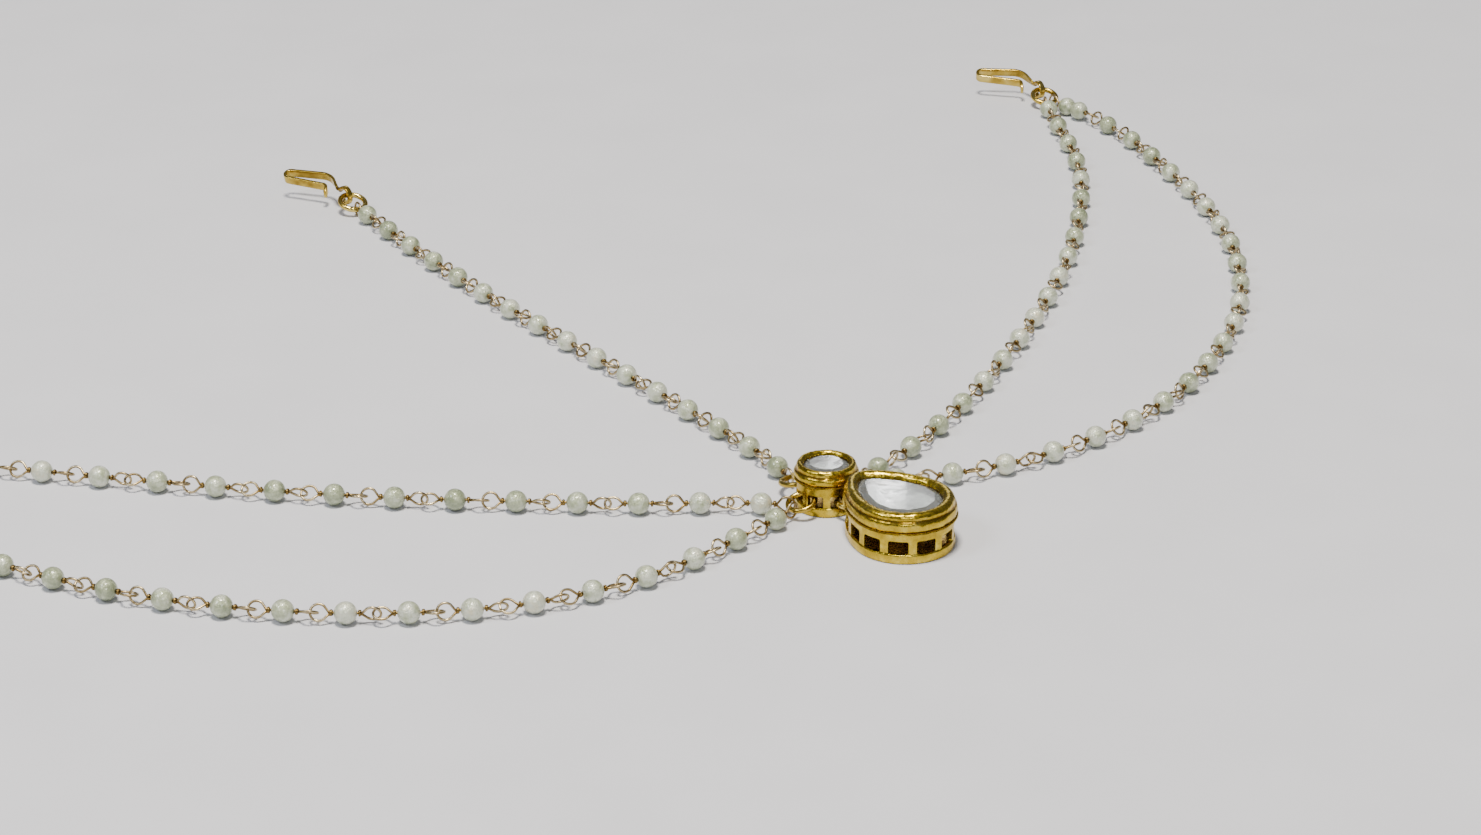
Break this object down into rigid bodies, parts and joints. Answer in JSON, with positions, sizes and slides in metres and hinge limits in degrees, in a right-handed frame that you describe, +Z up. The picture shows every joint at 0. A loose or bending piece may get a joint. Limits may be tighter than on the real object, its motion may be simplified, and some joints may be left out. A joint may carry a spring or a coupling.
{
  "type": "matha patti",
  "caption": "Head chain: a round and a pear-shaped stone setting with chains of pearls on eye pins that end in hooks of flat strip, laid out flat.",
  "frame": {"origin": "on the surface, under the centre of the round setting", "axes": "+X to the right, +Y from the pear setting's side towards the chains that run to the back, +Z up from the surface"},
  "size_m": [0.2281, 0.2006, 0.007],
  "materials": {
    "gold_setting": "cast brass, gold-plated and polished",
    "foiled_stone": "flat-cut clear glass with silver foil behind",
    "gold_ring": "gold-plated brass wire",
    "gold_hook": "gold-plated flat brass strip, bent by hand",
    "imitation_pearl": "pearlised coating on a plastic bead",
    "worn_gold_wire": "fine gold-coloured wire, worn and dull"
  },
  "bodies": {
    "root": {"round_setting": "gold_setting", "pendant_setting": "gold_setting", "round_stone": "foiled_stone", "pendant_stone": "foiled_stone", "pendant_ring": "gold_ring", "left_ring": "gold_ring", "centre_ring": "gold_ring", "right_ring": "gold_ring", "left_hook_ring": "gold_ring", "centre_hook_ring": "gold_ring", "right_hook_ring": "gold_ring", "left_hook": "gold_hook", "centre_hook": "gold_hook", "right_hook": "gold_hook", "left_upper_pearls": "imitation_pearl", "left_lower_pearls": "imitation_pearl", "centre_pearls": "imitation_pearl", "right_inner_pearls": "imitation_pearl", "right_outer_pearls": "imitation_pearl", "left_upper_pins": "worn_gold_wire", "left_lower_pins": "worn_gold_wire", "centre_pins": "worn_gold_wire", "right_inner_pins": "worn_gold_wire", "right_outer_pins": "worn_gold_wire"}
  },
  "joints": []
}
